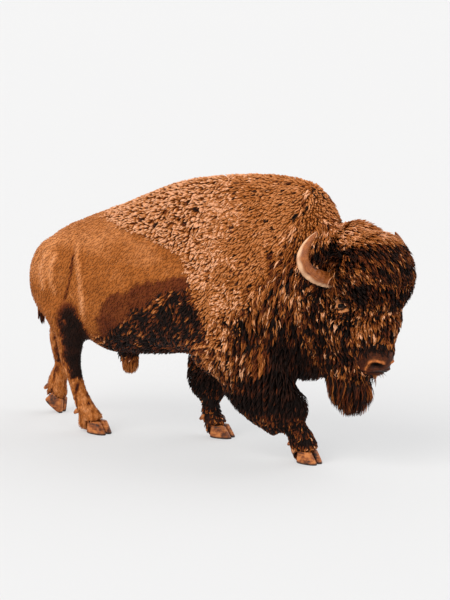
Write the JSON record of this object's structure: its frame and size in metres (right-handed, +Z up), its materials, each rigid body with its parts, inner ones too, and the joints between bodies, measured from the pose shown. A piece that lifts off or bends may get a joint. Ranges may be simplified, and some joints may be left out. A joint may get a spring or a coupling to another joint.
{
  "type": "bison",
  "caption": "Life-size still model of a bull bison walking with its head low and turned to its right, with hump, mane, beard, horns and shaggy fore legs.",
  "frame": {"origin": "centre of the box round the bison, on the floor it stands on", "axes": "+X the way the bison walks, +Y to its left, +Z up"},
  "size_m": [2.8216, 0.857, 1.742],
  "materials": {
    "short_coat": "short smooth tan hair",
    "wool": "curly tan wool",
    "mane": "long shaggy brown hair",
    "bonnet": "dense woolly brown hair",
    "face": "short dark brown hair",
    "beard": "long dark brown hair",
    "leg_coat": "short brown hair",
    "horn": "satin horn, tan with a dark tip",
    "hoof": "matt brown-grey horn",
    "eye": "wet dark brown"
  },
  "bodies": {
    "root": {"barrel": "wool", "beard": "beard", "bonnet": "bonnet", "cannon_fore_left": "leg_coat", "cannon_fore_right": "leg_coat", "cannon_hind_left": "leg_coat", "cannon_hind_right": "leg_coat", "claw_fore_left_inner": "hoof", "claw_fore_left_outer": "hoof", "claw_fore_right_inner": "hoof", "claw_fore_right_outer": "hoof", "claw_hind_left_inner": "hoof", "claw_hind_left_outer": "hoof", "claw_hind_right_inner": "hoof", "claw_hind_right_outer": "hoof", "dewclaw_fore_left_inner": "hoof", "dewclaw_fore_left_outer": "hoof", "dewclaw_fore_right_inner": "hoof", "dewclaw_fore_right_outer": "hoof", "dewclaw_hind_left_inner": "hoof", "dewclaw_hind_left_outer": "hoof", "dewclaw_hind_right_inner": "hoof", "dewclaw_hind_right_outer": "hoof", "ear_left": "mane", "ear_right": "mane", "eye_left": "eye", "eye_right": "eye", "forearm_left": "mane", "forearm_right": "mane", "forequarters": "wool", "gaskin_left": "leg_coat", "gaskin_right": "leg_coat", "head": "face", "hindquarters": "short_coat", "horn_left": "horn", "horn_right": "horn", "neck": "mane", "pastern_fore_left": "leg_coat", "pastern_fore_right": "leg_coat", "pastern_hind_left": "leg_coat", "pastern_hind_right": "leg_coat", "sheath_tuft": "short_coat", "tail": "short_coat", "tail_tuft": "beard"}
  },
  "joints": []
}
